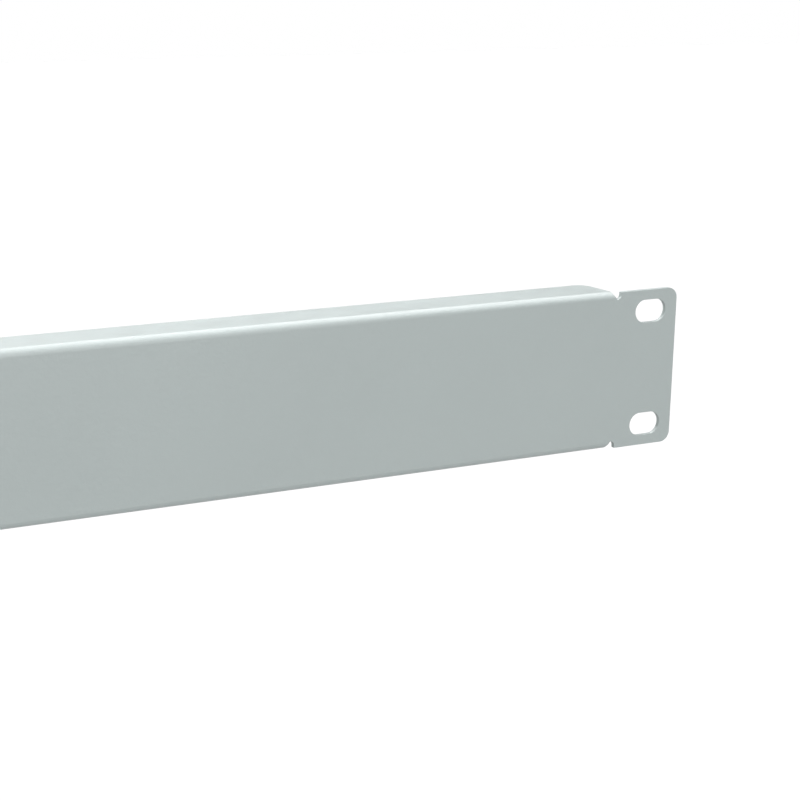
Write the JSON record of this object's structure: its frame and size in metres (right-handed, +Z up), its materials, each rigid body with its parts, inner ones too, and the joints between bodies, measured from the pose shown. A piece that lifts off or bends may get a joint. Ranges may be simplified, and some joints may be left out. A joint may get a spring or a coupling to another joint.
{
  "type": "rack blanking panel",
  "caption": "Flat sheet-metal blanking panel for one unit of a 19-inch rack, with folded top and bottom flanges and a slotted screw ear at each end.",
  "frame": {"origin": "centre of the four screw slots, on the rear faces of the ears, where the panel seats on the rack rails", "axes": "+X along the panel's width, +Y from the front face to the rear, into the rack, +Z up"},
  "size_m": [0.4826, 0.0131, 0.0436],
  "materials": {
    "powder_coat": "light grey powder coat, fine texture, satin"
  },
  "bodies": {
    "root": {"blanking_panel": "powder_coat"}
  },
  "joints": []
}
